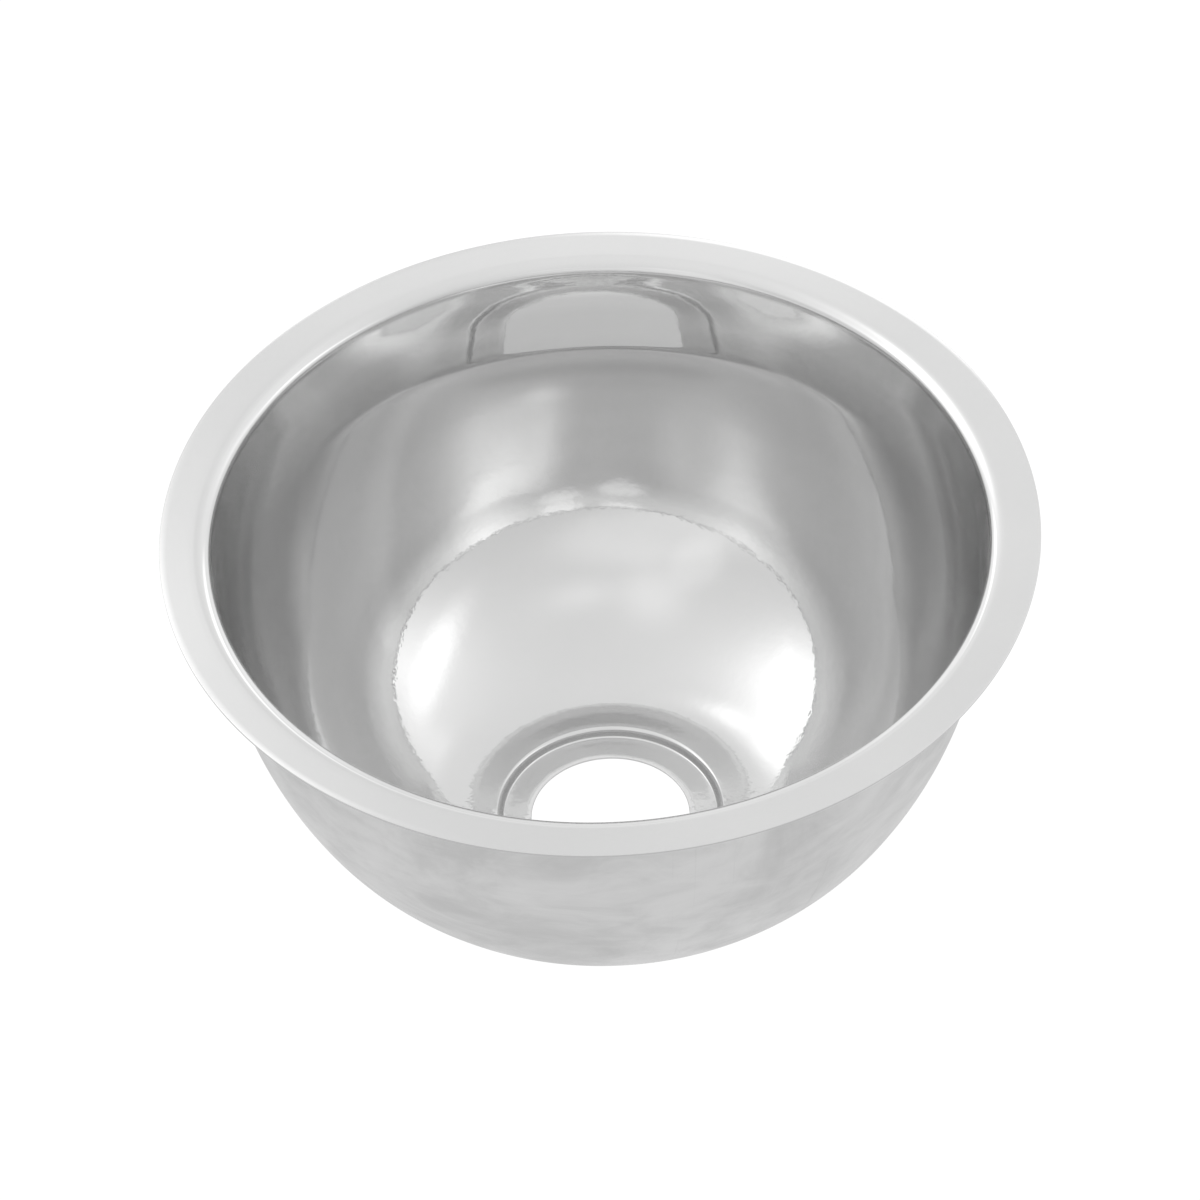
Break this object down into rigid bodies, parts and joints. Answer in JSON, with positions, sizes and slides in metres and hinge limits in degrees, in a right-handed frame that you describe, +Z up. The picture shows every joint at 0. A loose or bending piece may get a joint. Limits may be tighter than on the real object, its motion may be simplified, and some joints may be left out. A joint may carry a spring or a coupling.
{
  "type": "pedicure foot bath",
  "caption": "Round inset steel foot-bath bowl with a flat polished rim, a deep curved basin and an open recessed outlet; seal, swivelling fixing clips and bonding tag under the rim.",
  "frame": {"origin": "on the bowl's axis, at the underside of the outlet recess, which is the lowest face", "axes": "+Z up along the bowl's axis; -Y is the side seen in front, +Y carries the rear fixing clip"},
  "size_m": [0.48, 0.48, 0.2254],
  "materials": {
    "polished_stainless": "mirror polished inside and on the rim, satin outside",
    "clip_steel": "plain pressed steel",
    "zinc_plate": "bright zinc plate",
    "closed_cell_foam": "matt closed-cell foam",
    "deadening_pad": "matt bitumen sheet",
    "plated_brass": "satin"
  },
  "bodies": {
    "bowl": {"bowl_shell": "polished_stainless", "rim_seal": "closed_cell_foam", "sound_pad": "deadening_pad", "clip_bracket_1": "clip_steel", "clip_bracket_2": "clip_steel", "clip_bracket_3": "clip_steel", "clip_nut_1": "zinc_plate", "clip_nut_2": "zinc_plate", "clip_nut_3": "zinc_plate", "bonding_tag": "clip_steel", "bonding_screw": "plated_brass", "bonding_washer": "plated_brass", "bonding_nut": "plated_brass"},
    "screw_1": {"clip_screw_1": "zinc_plate"},
    "hook_1": {"clip_hook_1": "clip_steel"},
    "screw_2": {"clip_screw_2": "zinc_plate"},
    "hook_2": {"clip_hook_2": "clip_steel"},
    "screw_3": {"clip_screw_3": "zinc_plate"},
    "hook_3": {"clip_hook_3": "clip_steel"}
  },
  "joints": [
    {"name": "clip_1_lift", "type": "slide", "parent": "bowl", "child": "screw_1", "axis": [0, 0, 1], "range_m": [-0.006, 0]},
    {"name": "clip_1_swing", "type": "hinge", "parent": "screw_1", "child": "hook_1", "pos_m": [0.19182, -0.11075, 0.20535], "axis": [0, 0, -1], "range_deg": [0, 96]},
    {"name": "clip_2_lift", "type": "slide", "parent": "bowl", "child": "screw_2", "axis": [0, 0, 1], "range_m": [-0.006, 0]},
    {"name": "clip_2_swing", "type": "hinge", "parent": "screw_2", "child": "hook_2", "pos_m": [-0.19182, -0.11075, 0.20535], "axis": [0, 0, 1], "range_deg": [0, 96]},
    {"name": "clip_3_lift", "type": "slide", "parent": "bowl", "child": "screw_3", "axis": [0, 0, 1], "range_m": [-0.006, 0]},
    {"name": "clip_3_swing", "type": "hinge", "parent": "screw_3", "child": "hook_3", "pos_m": [0, 0.2215, 0.20535], "axis": [0, 0, -1], "range_deg": [0, 96]}
  ]
}
